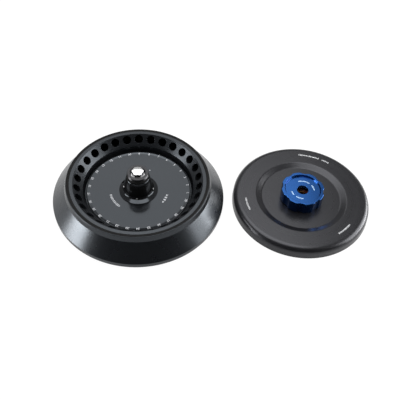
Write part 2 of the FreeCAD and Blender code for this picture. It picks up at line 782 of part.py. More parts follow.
def draw_hexagon_ring(sketch, half_flats, around, turn):
    """A hexagon inside a circle: what lies between the two is cut away."""
    circle = Part.Circle(FreeCAD.Vector(), FreeCAD.Vector(0, 0, 1), around.value)
    sketch.addGeometry(circle, False)
    pin_point(sketch, 0, 3, ZERO, ZERO)
    fix(sketch, "Radius", 0, around)
    corner = half_flats * CORNER
    points = []
    for n in range(6):
        angle = turn + Size.of(SIXTH_TURN * n)
        points.append((corner * cosine(angle), corner * sine(angle)))
    for n in range(6):
        first = FreeCAD.Vector(points[n - 1][0].value, points[n - 1][1].value, 0)
        last = FreeCAD.Vector(points[n][0].value, points[n][1].value, 0)
        sketch.addGeometry(Part.LineSegment(first, last), False)
    for n in range(6):
        ahead = (n + 1) % 6
        sketch.addConstraint(Sketcher.Constraint("Coincident", n + 1, 2, ahead + 1, 1))
        pin_point(sketch, n + 1, 2, *points[n])


def make_bolt_washer():
    inner = d.bolt_rad + d.washer_gap
    outer = d.head_room - d.washer_room
    body, _ = turned_piece("bolt_washer", [
        (inner, above_floor(SEAT_HIGH)),
        (outer, above_floor(SEAT_HIGH)),
        (outer, washer_top()),
        (inner, washer_top()),
    ])
    return body


def make_bolt_snap_ring():
    """Snap ring in the bolt's groove, below the web; it stops the bolt from leaving the hub."""
    inner = d.bolt_rad - d.bolt_neck
    low, high = ring_low(), ring_low() + d.snap_thick
    body, _ = turned_piece("bolt_snap_ring", [
        (inner, low),
        (d.snap_rad, low),
        (d.snap_rad, high),
        (inner, high),
    ])
    return open_ring(body, d.snap_gap, d.snap_rad, low, high)


def open_ring(body, wide, outer, low, high):
    """Cut an opening of this width through one side of a flat ring."""
    sketch = new_sketch(body, f"{body.Label}_gap", "XY_Plane", low)
    half = wide / 2
    draw_profile(sketch, [
        (ZERO, -half),
        (outer * 2, -half),
        (outer * 2, half),
        (ZERO, half),
    ])
    gap = body.newObject("PartDesign::Pocket", f"{body.Label}_opening")
    gap.Profile = (sketch, [""])
    gap.Length = (high - low).value
    gap.setExpression("Length", (high - low).text)
    gap.Reversed = True
    doc.recompute()
    return body


# Lid: a dished disc with a bush in its middle, in which the knob's spindle turns.

def make_lid_disc():
    bore = BUSH_RAD + d.bush_gap
    top_rad = LID_RAD - d.lid_draft
    side_top = d.lid_high - d.lid_round
    inner = LID_RAD - d.lid_rim
    under = d.lid_high - d.lid_wall
    dish_under = d.dish_high - d.lid_wall
    step_in = d.step_rad - d.step_wide
    body, _ = turned_piece("lid_disc", [
        (bore, d.boss_low),
        (BOSS_RAD, d.boss_low),
        (BOSS_RAD, dish_under),
        (step_in + d.step_shift, dish_under),
        (d.step_rad + d.step_shift, under),
        (inner - d.under_draft, under),
        (inner, ZERO),
        (LID_RAD - d.lid_bevel, ZERO),
        (LID_RAD, d.lid_bevel),
        (top_rad, side_top),
        (top_rad - d.lid_round, d.lid_high, d.lid_round),
        (d.step_rad, d.lid_high),
        (step_in, d.dish_high),
        (bore, d.dish_high),
    ])
    dress(body, "Fillet", "lid_step_round", d.step_round, [
        (d.step_rad, d.lid_high),
        (step_in, d.dish_high),
    ])
    place(body, LID_AWAY, d.lid_aside)
    return body


def make_lid_bush():
    """Plain bearing for the spindle, with a groove for its O-ring."""
    room = SPINDLE_ROOM + d.bush_seal * 2
    low = d.bush_seal_high - d.bush_seal
    high = d.bush_seal_high + d.bush_seal
    body, _ = turned_piece("lid_bush", [
        (SPINDLE_ROOM, d.boss_low),
        (BUSH_RAD, d.boss_low),
        (BUSH_RAD, d.dish_high),
        (SPINDLE_ROOM, d.dish_high),
        (SPINDLE_ROOM, high),
        (room, high),
        (room, low),
        (SPINDLE_ROOM, low),
    ])
    place(body, LID_AWAY, d.lid_aside)
    return body


def make_bush_o_ring():
    ring = new_ring("bush_o_ring", SPINDLE_ROOM + d.bush_seal, d.bush_seal, d.bush_seal_high)
    place(ring, LID_AWAY, d.lid_aside, d.bush_seal_high)
    return ring


def make_slide_washer():
    """Plastic washer between the lid's dish and the knob."""
    body, _ = turned_piece("slide_washer", [
        (SPINDLE_ROOM, d.dish_high),
        (d.slide_rad, d.dish_high),
        (d.slide_rad, d.dish_high + d.slide_thick),
        (SPINDLE_ROOM, d.dish_high + d.slide_thick),
    ])
    place(body, LID_AWAY, d.lid_aside)
    return body


def make_thrust_washer():
    """Washer between the lid's boss and the circlip."""
    high = d.boss_low
    low = d.clip_low + d.clip_thick + d.slide_gap
    body, _ = turned_piece("thrust_washer", [
        (SPINDLE_ROOM, low),
        (d.slide_rad, low),
        (d.slide_rad, high),
        (SPINDLE_ROOM, high),
    ])
    place(body, LID_AWAY, d.lid_aside)
    return body


# Knob: lobed grip and spindle in one piece, with insert, seal ring and circlip.

def grip_low():
    """Underside of the grip, just clear of the slide washer."""
    return d.dish_high + d.slide_thick + d.slide_gap


def make_knob():
    insert_hole = INSERT_RAD + d.insert_gap
    seal_top = INSERT_HIGH + d.knob_seal_thick
    groove = SPINDLE_RAD - d.clip_deep
    clip_high = d.clip_low + d.clip_thick
    body, _ = turned_piece("knob", [
        (insert_hole, d.spindle_low),
        (SPINDLE_RAD, d.spindle_low),
        (SPINDLE_RAD, d.clip_low),
        (groove, d.clip_low),
        (groove, clip_high),
        (SPINDLE_RAD, clip_high),
        (SPINDLE_RAD, grip_low()),
        (d.knob_rad, grip_low()),
        (d.knob_rad, d.knob_high),
        (d.dish_rad, d.knob_high),
        (d.dish_rad - d.dish_slope, d.dish_floor),
        (d.key_rad, d.dish_floor),
        (d.key_rad, d.dish_floor - d.top_thick),
        (d.hollow_rad, d.dish_floor - d.top_thick),
        (d.hollow_rad, seal_top),
        (insert_hole, seal_top),
    ])
    reach = d.knob_rad - d.scallop_deep + d.scallop_rad
    hollow = cut_round(body, "grip_hollow", reach, ZERO, d.scallop_rad,
                       d.knob_high - grip_low(), grip_low())
    centre = new_sketch(body, "grip_centre", "XY_Plane")
    ring_of(body, "grip_hollows", [hollow], centre, d.lobe_count)
    round_grip(body)
    place(body, LID_AWAY, d.lid_aside, ZERO, d.turn_knob)
    return body


def round_grip(body):
    """Round the upright corners of the lobes, then the rims of the grip above and below."""
    outside = d.dish_rad.value + NEAR
    upright = named_edges(body, lambda box, middle: box.ZLength > 1.0 and middle > outside)
    round_edges(body, "lobe_round", upright, d.lobe_round)
    levels = (d.knob_high.value, grip_low().value)
    rims = named_edges(body, lambda box, middle: (
        box.ZLength < NEAR and min(abs(box.ZMin - z) for z in levels) < NEAR and middle > outside
    ))
    round_edges(body, "grip_round", rims, d.knob_round)


def named_edges(body, wanted):
    """Names of the edges whose box and middle distance from the axis are the wanted ones."""
    names = []
    for n, edge in enumerate(body.Shape.Edges, start=1):
        middle = edge.valueAt((edge.FirstParameter + edge.LastParameter) / 2)
        if wanted(edge.BoundBox, math.hypot(middle.x, middle.y)):
            names.append(f"Edge{n}")
    return names


def round_edges(body, name, edges, radius):
    base = body.Tip
    feature = body.newObject("PartDesign::Fillet", name)
    feature.Base = (base, edges)
    feature.Radius = radius.value
    feature.setExpression("Radius", radius.text)
    doc.recompute()


def make_knob_insert():
    """Bronze insert: smooth skirt over the hub's neck, thread above it for the collar."""
    thread = COLLAR_RAD - d.thread_deep + d.thread_gap
    body, _ = turned_piece("knob_insert", [
        (SKIRT_RAD, d.spindle_low),
        (INSERT_RAD, d.spindle_low),
        (INSERT_RAD, INSERT_HIGH),
        (thread, INSERT_HIGH),
        (thread, THREAD_LOW),
        (SKIRT_RAD, THREAD_LOW),
    ])
    place(body, LID_AWAY, d.lid_aside)
    return body


def make_knob_seal():
    """Silicone ring that the collar's top presses on when the lid is closed."""
    body, _ = turned_piece("knob_seal", [
        (d.knob_seal_rad, INSERT_HIGH),
        (INSERT_RAD, INSERT_HIGH),
        (INSERT_RAD, INSERT_HIGH + d.knob_seal_thick),
        (d.knob_seal_rad, INSERT_HIGH + d.knob_seal_thick),
    ])
    place(body, LID_AWAY, d.lid_aside)
    return body


def make_knob_circlip():
    inner = SPINDLE_RAD - d.clip_deep
    low, high = d.clip_low, d.clip_low + d.clip_thick
    body, _ = turned_piece("knob_circlip", [
        (inner, low),
        (CLIP_RAD, low),
        (CLIP_RAD, high),
        (inner, high),
    ])
    body = open_ring(body, d.clip_gap, CLIP_RAD, low, high)
    place(body, LID_AWAY, d.lid_aside)
    return body


def make_parts():
    return [
        make_rotor_body(),
        make_rim_seal(),
        make_hub(),
        make_shaft_sleeve(),
        make_hub_collar(),
        make_neck_o_ring(),
        make_base_o_ring(),
        make_hub_screws(),
        make_drive_pins(),
        make_clamp_bolt(),
        make_bolt_washer(),
        make_bolt_snap_ring(),
        make_lid_disc(),
        make_lid_bush(),
        make_bush_o_ring(),
        make_slide_washer(),
        make_thrust_washer(),
        make_knob(),
        make_knob_insert(),
        make_knob_seal(),
        make_knob_circlip(),
    ]


def check(parts):
    """Stop unless every object computed and every sub-part is a sound solid."""
    for thing in doc.Objects:
        for word in ("Invalid", "Error"):
            if word in thing.State:
                raise ValueError(f"{thing.Name} is {word}")
    for part in parts:
        if part.Shape.isNull() or not part.Shape.isValid():
            raise ValueError(f"{part.Label} has no valid shape")
        if part.Shape.Volume <= 0:
            raise ValueError(f"{part.Label} has no volume")


def write(parts):
    os.makedirs("parts", exist_ok=True)
    for part in parts:
        part.Shape.exportStep(os.path.join("parts", f"{part.Label}.step"))
        print(part.Label, len(part.Shape.Solids), round(part.Shape.Volume, 1))


parts = make_parts()
doc.recompute()
check(parts)
write(parts)
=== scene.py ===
"""Looks of the fixed angle rotor and its lid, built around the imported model.

Lengths are metres in the model's own frame: the rotor's axis is the Z axis, it stands on Z = 0,
and the lid lies on the same plane beside it, towards +X.
"""
import json
import math

import bmesh
import bpy
from mathutils import Euler, Matrix, Vector

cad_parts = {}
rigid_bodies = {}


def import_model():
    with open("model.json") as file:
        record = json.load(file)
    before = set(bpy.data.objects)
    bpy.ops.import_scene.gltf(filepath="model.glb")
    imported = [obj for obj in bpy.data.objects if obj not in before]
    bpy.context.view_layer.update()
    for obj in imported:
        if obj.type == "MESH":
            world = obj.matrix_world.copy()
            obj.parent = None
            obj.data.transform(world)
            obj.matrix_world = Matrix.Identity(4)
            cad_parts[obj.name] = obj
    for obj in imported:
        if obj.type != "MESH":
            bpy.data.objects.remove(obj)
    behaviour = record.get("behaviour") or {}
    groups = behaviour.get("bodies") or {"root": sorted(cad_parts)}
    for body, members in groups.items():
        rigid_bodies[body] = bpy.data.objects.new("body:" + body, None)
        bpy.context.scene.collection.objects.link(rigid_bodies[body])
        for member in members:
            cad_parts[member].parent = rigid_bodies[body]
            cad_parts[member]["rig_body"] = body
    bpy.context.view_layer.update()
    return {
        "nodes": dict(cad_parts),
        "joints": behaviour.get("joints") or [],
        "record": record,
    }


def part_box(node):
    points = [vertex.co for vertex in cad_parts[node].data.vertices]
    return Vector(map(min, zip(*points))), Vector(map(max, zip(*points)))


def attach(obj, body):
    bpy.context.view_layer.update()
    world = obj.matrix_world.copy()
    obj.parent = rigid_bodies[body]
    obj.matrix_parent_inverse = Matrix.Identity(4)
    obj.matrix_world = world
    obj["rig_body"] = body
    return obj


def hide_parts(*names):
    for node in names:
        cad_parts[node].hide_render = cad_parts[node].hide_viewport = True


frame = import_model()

MM = 0.001
FULL_TURN = 2 * math.pi


def joint_of(name):
    return next(j for j in frame["joints"] if j["name"] == name)


def mount_of(name):
    return next(m for m in frame["record"]["mounts"] if m["name"] == name)


def top_of(node):
    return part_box(node)[1].z


# Places that the marks and materials are worked out from, all read from the frame.
ROTOR_AXIS = Vector((0.0, 0.0, 0.0))
LID_AXIS = Vector(joint_of("knob_turn")["pos_m"])
LID_TOP = top_of("lid_disc")

# Heights of faces inside a node, which its box doesn't give.
BOWL_FLOOR = 17.5 * MM
KNOB_DISH = 26.4 * MM

BORE_COUNT = 30
FIRST_BORE = math.radians(-1.07)


def put(piece):
    """Add an object to the scene."""
    bpy.context.scene.collection.objects.link(piece)
    return piece


# Node trees

HEIGHT_SHARE = 0.8  # how much of the height counts in the measure along a turned face


class Graph:
    """Short hand for one material's node tree."""

    def __init__(self, name):
        self.material = bpy.data.materials.new(name)
        self.material.use_nodes = True
        self.tree = self.material.node_tree
        self.shader = self.tree.nodes["Principled BSDF"]

    def node(self, kind, **settings):
        made = self.tree.nodes.new(kind)
        for name, value in settings.items():
            setattr(made, name, value)
        return made

    def feed(self, socket, value):
        """Link an output to the socket, or set the socket to a plain value."""
        if isinstance(value, bpy.types.NodeSocket):
            self.tree.links.new(value, socket)
        else:
            socket.default_value = value

    def math(self, operation, *values):
        made = self.node("ShaderNodeMath", operation=operation)
        for socket, value in zip(made.inputs, values):
            self.feed(socket, value)
        return made.outputs[0]

    def span(self, value, low, high):
        """Map 0 to 1 of value onto low to high."""
        made = self.node("ShaderNodeMapRange")
        self.feed(made.inputs["Value"], value)
        made.inputs["To Min"].default_value = low
        made.inputs["To Max"].default_value = high
        return made.outputs["Result"]

    def mix(self, share, first, second):
        made = self.node("ShaderNodeMix", data_type="RGBA")
        self.feed(made.inputs[0], share)
        self.feed(made.inputs[6], first)
        self.feed(made.inputs[7], second)
        return made.outputs[2]

    def noise(self, scale, detail=3.0, place=None, ring=None):
        """Noise in space, or along one measure such as the distance from an axis."""
        made = self.node("ShaderNodeTexNoise")
        if ring is not None:
            made.noise_dimensions = "1D"
            self.feed(made.inputs["W"], ring)
        elif place is not None:
            self.feed(made.inputs["Vector"], place)
        made.inputs["Scale"].default_value = scale
        made.inputs["Detail"].default_value = detail
        return made.outputs[0]

    def place(self):
        return self.node("ShaderNodeTexCoord").outputs["Object"]

    def distance(self, axis):
        """Distance from an upright axis."""
        moved = self.node("ShaderNodeVectorMath", operation="SUBTRACT")
        self.feed(moved.inputs[0], self.place())
        moved.inputs[1].default_value = (axis.x, axis.y, 0.0)
        flat = self.node("ShaderNodeVectorMath", operation="MULTIPLY")
        self.feed(flat.inputs[0], moved.outputs[0])
        flat.inputs[1].default_value = (1.0, 1.0, 0.0)
        length = self.node("ShaderNodeVectorMath", operation="LENGTH")
        self.feed(length.inputs[0], flat.outputs[0])
        return length.outputs["Value"]

    def lathe_measure(self, axis):
        """Distance from an upright axis plus the height: it grows along any turned face."""
        split = self.node("ShaderNodeSeparateXYZ")
        self.feed(split.inputs[0], self.place())
        height = self.math("MULTIPLY", split.outputs["Z"], HEIGHT_SHARE)
        return self.math("ADD", self.distance(axis), height)

    def ramp(self, value, start, end):
        """Rise smoothly from 0 at start to 1 at end."""
        made = self.node("ShaderNodeMapRange", interpolation_type="SMOOTHSTEP")
        self.feed(made.inputs["Value"], value)
        made.inputs["From Min"].default_value = start
        made.inputs["From Max"].default_value = end
        return made.outputs["Result"]

    def rounded(self, radius):
        """Normals as if sharp edges had a small rounding."""
        made = self.node("ShaderNodeBevel", samples=4)
        made.inputs["Radius"].default_value = radius
        return made.outputs[0]

    def bump(self, height, strength, distance, normal=None):
        made = self.node("ShaderNodeBump")
        self.feed(made.inputs["Height"], height)
        made.inputs["Strength"].default_value = strength
        made.inputs["Distance"].default_value = distance
        if normal is not None:
            self.feed(made.inputs["Normal"], normal)
        return made.outputs[0]

    def set(self, **values):
        """Set or link the shader's sockets, whose names are given with underscores."""
        for name, value in values.items():
            self.feed(self.shader.inputs[name.replace("_", " ")], value)


COOL_SHEEN = (0.79, 0.87, 0.96, 1.0)  # black anodising mirrors a little blue
LID_SHEEN = (0.83, 0.84, 0.9, 1.0)
FINE_SHARE = 0.5  # how rough the finer cut is beside the coarser one
FINE_FADE = 3.0 * MM
BODY_FINE_RAD = 64.0 * MM
BROKEN_EDGE = 0.35 * MM
KNOB_EDGE = 0.7 * MM


def turned_metal(
    name, dark, light, axis, metallic, rough, grain=0.25, edge=BROKEN_EDGE, fine_to=0.0,
):
    """Metal or anodised metal from a lathe, with fine rings about its axis and faint smudges.

    Inside the radius fine_to the face was cut finer and mirrors more sharply.
    """
    graph = Graph(name)
    measure = graph.lathe_measure(axis)
    rings = graph.noise(2600.0, 4.0, ring=measure)
    bands = graph.noise(160.0, 2.0, ring=measure)
    smudge = graph.noise(38.0, 4.0, place=graph.place())
    cloud = graph.noise(9.0, 3.0, place=graph.place())
    tone = graph.math(
        "ADD", graph.math("MULTIPLY", bands, 0.5), graph.math("MULTIPLY", cloud, 0.5),
    )
    worn = graph.math("MULTIPLY", graph.math("ADD", smudge, bands), 0.5)
    normal = graph.bump(rings, grain, 0.02 * MM, graph.rounded(edge))
    roughness = graph.span(worn, rough * 0.82, rough * 1.22)
    if fine_to:
        coarse = graph.ramp(graph.distance(axis), fine_to, fine_to + FINE_FADE)
        roughness = graph.math("MULTIPLY", roughness, graph.span(coarse, FINE_SHARE, 1.0))
    graph.set(
        Base_Color=graph.mix(tone, (*dark, 1.0), (*light, 1.0)),
        Metallic=metallic,
        Roughness=roughness,
        Normal=normal,
    )
    return graph


def rubber(name, dark, light, rough, sheen):
    """Moulded rubber: dull, with a faint grain and dust."""
    graph = Graph(name)
    grain = graph.noise(900.0, 3.0, place=graph.place())
    dust = graph.noise(120.0, 5.0, place=graph.place())
    graph.set(
        Base_Color=graph.mix(dust, (*dark, 1.0), (*light, 1.0)),
        Roughness=graph.span(dust, rough * 0.85, min(rough * 1.2, 1.0)),
        Specular_IOR_Level=sheen,
        Normal=graph.bump(grain, 0.25, 0.03 * MM),
    )
    return graph


def plastic(name, dark, light, rough, axis):
    """Turned engineering plastic."""
    graph = Graph(name)
    rings = graph.noise(1800.0, 3.0, ring=graph.lathe_measure(axis))
    cloud = graph.noise(60.0, 3.0, place=graph.place())
    graph.set(
        Base_Color=graph.mix(cloud, (*dark, 1.0), (*light, 1.0)),
        Roughness=rough,
        Normal=graph.bump(rings, 0.2, 0.02 * MM),
    )
    return graph


def marking(name, dark, light):
    """Laser marking: a matt pale skin that is a little uneven."""
    graph = Graph(name)
    speckle = graph.noise(2500.0, 3.0, place=graph.place())
    graph.set(
        Base_Color=graph.mix(speckle, (*dark, 1.0), (*light, 1.0)),
        Roughness=0.65,
    )
    return graph


def make_materials():
    body = turned_metal(
        "body_black", (0.004, 0.0045, 0.0055), (0.006, 0.0065, 0.0075), ROTOR_AXIS, 0.0, 0.27,
        fine_to=BODY_FINE_RAD,
    )
    body.set(Specular_Tint=COOL_SHEEN)
    hub = turned_metal(
        "hub_black", (0.003, 0.003, 0.003), (0.005, 0.005, 0.005), ROTOR_AXIS, 0.0, 0.12, 0.12,
    )
    hub.set(Specular_Tint=COOL_SHEEN)
    lid = turned_metal(
        "lid_grey", (0.005, 0.005, 0.006), (0.008, 0.008, 0.009), LID_AXIS, 0.0, 0.28,
    )
    lid.set(Specular_Tint=LID_SHEEN)
    knob = turned_metal(
        "knob_blue", (0.013, 0.058, 0.19), (0.018, 0.072, 0.24), LID_AXIS, 0.95, 0.18,
        edge=KNOB_EDGE,
    )
    steel, lid_steel = (
        turned_metal(name, (0.5, 0.5, 0.51), (0.62, 0.62, 0.63), axis, 1.0, 0.3, 0.3)
        for name, axis in (("steel", ROTOR_AXIS), ("lid_steel", LID_AXIS))
    )
    bolt = turned_metal(
        "bolt_steel", (0.85, 0.85, 0.86), (0.92, 0.92, 0.92), ROTOR_AXIS, 1.0, 0.16, 0.1,
    )
    collar = turned_metal(
        "collar_steel", (0.04, 0.04, 0.042), (0.055, 0.055, 0.058), ROTOR_AXIS, 1.0, 0.28, 0.2,
    )
    bronze = turned_metal(
        "bronze", (0.5, 0.31, 0.14), (0.62, 0.42, 0.2), LID_AXIS, 1.0, 0.3, 0.3,
    )
    return {
        "body_black": body,
        "hub_black": hub,
        "lid_grey": lid,
        "knob_blue": knob,
        "steel": steel,
        "lid_steel": lid_steel,
        "bolt_steel": bolt,
        "collar_steel": collar,
        "bronze": bronze,
        "seal_black": rubber("seal_black", (0.003, 0.003, 0.003), (0.007, 0.007, 0.007), 0.6, 0.12),
        "seal_red": rubber("seal_red", (0.24, 0.03, 0.02), (0.34, 0.06, 0.04), 0.5, 0.5),
        "washer_plastic": plastic(
            "washer_plastic", (0.012, 0.012, 0.012), (0.02, 0.02, 0.02), 0.45, LID_AXIS,
        ),
        "mark_grey": marking("mark_grey", (0.38, 0.39, 0.41), (0.48, 0.49, 0.51)),
        "mark_white": marking("mark_white", (0.44, 0.45, 0.46), (0.54, 0.55, 0.56)),
        "mark_pale_blue": marking("mark_pale_blue", (0.4, 0.6, 0.85), (0.5, 0.7, 0.9)),
    }


materials = make_materials()


def dress_nodes():
    """Every node of the frame gets the material of its slot, turned about its own body's axis."""
    for part in frame["record"]["subparts"]:
        node = frame["nodes"][part["node"]]
        name = part["material_slot"]
        on_lid = node["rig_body"] in ("lid", "knob_group")
        if name == "steel" and on_lid:
            name = "lid_steel"
        node.data.materials.clear()
        node.data.materials.append(materials[name].material)


dress_nodes()


# Marks: thin skins on the metal, as a laser leaves them.

MARK_THICK = 0.03 * MM

TICK_FILL = 0.62  # share of the pitch that a tick covers
SHORT_TICK = 0.72  # every third tick is this much of the full height
TICK_STEP = 0.8 * MM  # a wide tick bends with the circle in steps of this length

# Arcs are in degrees clockwise from the back; floor rows have a radius and a pitch of their own.
FLOOR_ROWS = ((36.2, 215.0, 253.0, 2.2), (37.6, 98.0, 122.5, 3.6))
FLOOR_TICK_TALL = 3.0 * MM
DOT_PLACE_RAD = 36.2 * MM
DOT_PLACE_TURN = math.radians(18.2)
DOT_RAD = 0.75 * MM
LID_ROW_RAD = 72.8 * MM
LID_ARCS = ((0.5, 23.0), (26.0, 34.5), (127.0, 144.5), (247.0, 263.5))
LID_TICK_TALL = 2.2 * MM
LID_PITCH = 2.1 * MM
KNOB_ROW_RAD = 14.7 * MM
KNOB_ARCS = ((340.0, 400.0), (415.0, 451.0), (179.0, 218.0), (232.0, 257.0))
KNOB_TICK_TALL = 1.9 * MM
KNOB_PITCH = 1.35 * MM


def around(axis, radius, angle, height):
    """Point at this radius and angle, counted clockwise from the back as seen from above."""
    return Vector((axis.x + radius * math.sin(angle), axis.y + radius * math.cos(angle), height))


def finish_piece(name, mesh_data, body, material):
    """Make the mesh an object of the scene that moves with the body."""
    mesh = bpy.data.meshes.new(name)
    mesh_data.normal_update()
    mesh_data.to_mesh(mesh)
    mesh_data.free()
    piece = put(bpy.data.objects.new(name, mesh))
    mesh.materials.append(materials[material].material)
    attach(piece, body)
    return piece


def add_tick(mesh_data, axis, radius, angle, height, wide, tall):
    """One upright tick: a small curved plate, tall along the radius and wide along the circle."""
    half = wide / radius / 2
    steps = max(1, round(wide / TICK_STEP))
    rows = []
    for n in range(steps + 1):
        turn = angle - half + 2 * half * n / steps
        rows.append([
            mesh_data.verts.new(around(axis, radius + side * tall / 2, turn, level))
            for level in (height, height + MARK_THICK)
            for side in (-1, 1)
        ])
    for first, second in zip(rows, rows[1:]):
        for a, b in ((0, 1), (1, 3), (3, 2), (2, 0)):
            mesh_data.faces.new((first[a], first[b], second[b], second[a]))
    for row in (rows[0], rows[-1]):
        mesh_data.faces.new((row[0], row[1], row[3], row[2]))


def add_tick_row(mesh_data, axis, radius, start, end, height, tall, pitch):
    """Ticks that fill the arc from start to end, in degrees clockwise from the back."""
    start, end = math.radians(start), math.radians(end)
    count = max(2, round(radius * (end - start) / pitch))
    for n in range(count):
        share = 1.0 if n % 3 else SHORT_TICK
        angle = start + (end - start) * (n + 0.5) / count
        add_tick(mesh_data, axis, radius, angle, height, pitch * TICK_FILL, tall * share)


def face_outward(mesh_data):
    bmesh.ops.recalc_face_normals(mesh_data, faces=mesh_data.faces)


NUMBER_TALL = 3.1 * MM
NUMBER_BOLD = 0.14 * MM
NUMBER_RAD = 63.3 * MM
FIGURE_SHARE = 0.7  # height of a figure over the font's size
LOOK_FROM = 1.0  # height from which faces are sought, well above the part


def text_mesh(text, tall):
    """A flat raised text in the XY plane, centred on the origin."""
    curve = bpy.data.curves.new("glyphs", "FONT")
    curve.body = text
    curve.size = tall / FIGURE_SHARE
    curve.align_x = "CENTER"
    curve.align_y = "CENTER"
    curve.extrude = MARK_THICK / 2
    curve.offset = NUMBER_BOLD
    curve.resolution_u = 3
    holder = put(bpy.data.objects.new("glyphs", curve))
    evaluated = holder.evaluated_get(bpy.context.evaluated_depsgraph_get())
    mesh = bpy.data.meshes.new_from_object(evaluated)
    bpy.data.objects.remove(holder)
    bpy.data.curves.remove(curve)
    return mesh


def face_under(body, x, y):
    """Height of the body's topmost face at a place."""
    from_above = body.matrix_world.inverted() @ Vector((x, y, LOOK_FROM))
    hit, spot, _, _ = body.ray_cast(from_above, (0.0, 0.0, -1.0))
    return (body.matrix_world @ spot).z if hit else 0.0


def make_bore_numbers():
    """The bores' numbers at the bowl floor's edge, tops outward, on the raised lip there."""
    gathered = bmesh.new()
    for n in range(BORE_COUNT):
        mesh = text_mesh(str(n + 1), NUMBER_TALL)
        angle = FIRST_BORE + FULL_TURN * n / BORE_COUNT
        spot = Matrix.Translation(
            (NUMBER_RAD * math.cos(angle), NUMBER_RAD * math.sin(angle), MARK_THICK / 2)
        )
        mesh.transform(spot @ Euler((0, 0, angle - math.pi / 2)).to_matrix().to_4x4())
        gathered.from_mesh(mesh)
        bpy.data.meshes.remove(mesh)
    body = frame["nodes"]["rotor_body"]
    for vert in gathered.verts:
        vert.co.z += face_under(body, vert.co.x, vert.co.y)
    return finish_piece("bore_numbers", gathered, "rotor", "mark_grey")


def make_floor_marks():
    """Two rows of ticks on the bowl floor, and the dot beside the hub."""
    gathered = bmesh.new()
    for radius, start, end, pitch in FLOOR_ROWS:
        add_tick_row(
            gathered, ROTOR_AXIS, radius * MM, start, end, BOWL_FLOOR, FLOOR_TICK_TALL, pitch * MM,
        )
    dot = around(ROTOR_AXIS, DOT_PLACE_RAD, DOT_PLACE_TURN, BOWL_FLOOR + MARK_THICK / 2)
    bmesh.ops.create_cone(
        gathered, cap_ends=True, segments=20, radius1=DOT_RAD, radius2=DOT_RAD,
        depth=MARK_THICK, matrix=Matrix.Translation(dot),
    )
    face_outward(gathered)
    return finish_piece("floor_marks", gathered, "rotor", "mark_grey")


def make_lid_marks():
    """Rows of ticks at three places of the lid's outer flat, the rear one in two parts."""
    gathered = bmesh.new()
    for start, end in LID_ARCS:
        add_tick_row(
            gathered, LID_AXIS, LID_ROW_RAD, start, end, LID_TOP, LID_TICK_TALL, LID_PITCH,
        )
    face_outward(gathered)
    return finish_piece("lid_marks", gathered, "lid", "mark_white")


def make_knob_marks():
    """Rows of ticks on the knob's dish."""
    gathered = bmesh.new()
    for start, end in KNOB_ARCS:
        add_tick_row(
            gathered, LID_AXIS, KNOB_ROW_RAD, start, end, KNOB_DISH, KNOB_TICK_TALL, KNOB_PITCH,
        )
    face_outward(gathered)
    return finish_piece("knob_marks", gathered, "knob_group", "mark_pale_blue")


make_bore_numbers()
make_floor_marks()
make_lid_marks()
make_knob_marks()


# Threads: turned pieces whose wall follows a helix; each stands for the plain one of the frame

THREAD_PITCH = 1.25 * MM
THREAD_DEEP = 0.5 * MM
THREAD_STEP = 0.1 * MM  # height between two points of a threaded wall
THREAD_FADE = 0.4 * MM  # height over which the thread runs out at both ends
TURN_STEPS = 120

# Sizes of the two plain pieces that their boxes don't give
COLLAR_INNER = 10.43 * MM
COLLAR_MOUTH = 9.4 * MM
COLLAR_LIP = 1.07 * MM
COLLAR_BEVEL = 0.4 * MM
INSERT_BORE = 12.9 * MM
INSERT_SHOULDER = 9.9 * MM


def turned_mesh(outline, axis, shift):
    """Revolve a closed outline of (radius, height) points.

    shift(n, angle) says how far point n moves outward.
    """
    data = bmesh.new()
    rings = []
    for n, (radius, height) in enumerate(outline):
        ring = []
        for step in range(TURN_STEPS):
            angle = FULL_TURN * step / TURN_STEPS
            reach = radius + shift(n, angle)
            ring.append(data.verts.new((
                axis.x + reach * math.cos(angle), axis.y + reach * math.sin(angle), height,
            )))
        rings.append(ring)
    for n, ring in enumerate(rings):
        ahead = rings[(n + 1) % len(rings)]
        for step in range(TURN_STEPS):
            beside = (step + 1) % TURN_STEPS
            data.faces.new((ring[step], ring[beside], ahead[beside], ahead[step]))
    face_outward(data)
    return data


def thread_wall(radius, low, high):
    """Points up a threaded wall, close enough together to show its flanks."""
    count = round((high - low) / THREAD_STEP)
    return [(radius, low + (high - low) * n / count) for n in range(count + 1)]


def thread_shift(wall, first, inward):
    """Depth of the thread at each wall point, with no thread at the wall's two ends."""
    low, high = wall[0][1], wall[-1][1]

    def shift(n, angle):
        place = n - first
        if not 0 < place < len(wall) - 1:
            return 0.0
        height = wall[place][1]
        phase = (height / THREAD_PITCH - angle / FULL_TURN) % 1.0
        fade = min(1.0, (height - low) / THREAD_FADE, (high - height) / THREAD_FADE)
        return inward * THREAD_DEEP * fade * (1.0 - abs(2.0 * phase - 1.0))

    return shift


def make_threaded_collar():
    """The hub's collar, with its thread outside and bevelled top edges."""
    low, high = (corner.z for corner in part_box("hub_collar"))
    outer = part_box("hub_collar")[1].x
    shoulder = high - COLLAR_BEVEL
    lip = high - COLLAR_LIP
    wall = thread_wall(outer, low, shoulder)
    outline = [
        (COLLAR_INNER, low), *wall, (outer - COLLAR_BEVEL, high),
        (COLLAR_MOUTH + COLLAR_BEVEL, high), (COLLAR_MOUTH, shoulder),
        (COLLAR_MOUTH, lip), (COLLAR_INNER, lip),
    ]
    data = turned_mesh(outline, ROTOR_AXIS, thread_shift(wall, 1, -1.0))
    piece = finish_piece("threaded_collar", data, "rotor", "collar_steel")
    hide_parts("hub_collar")


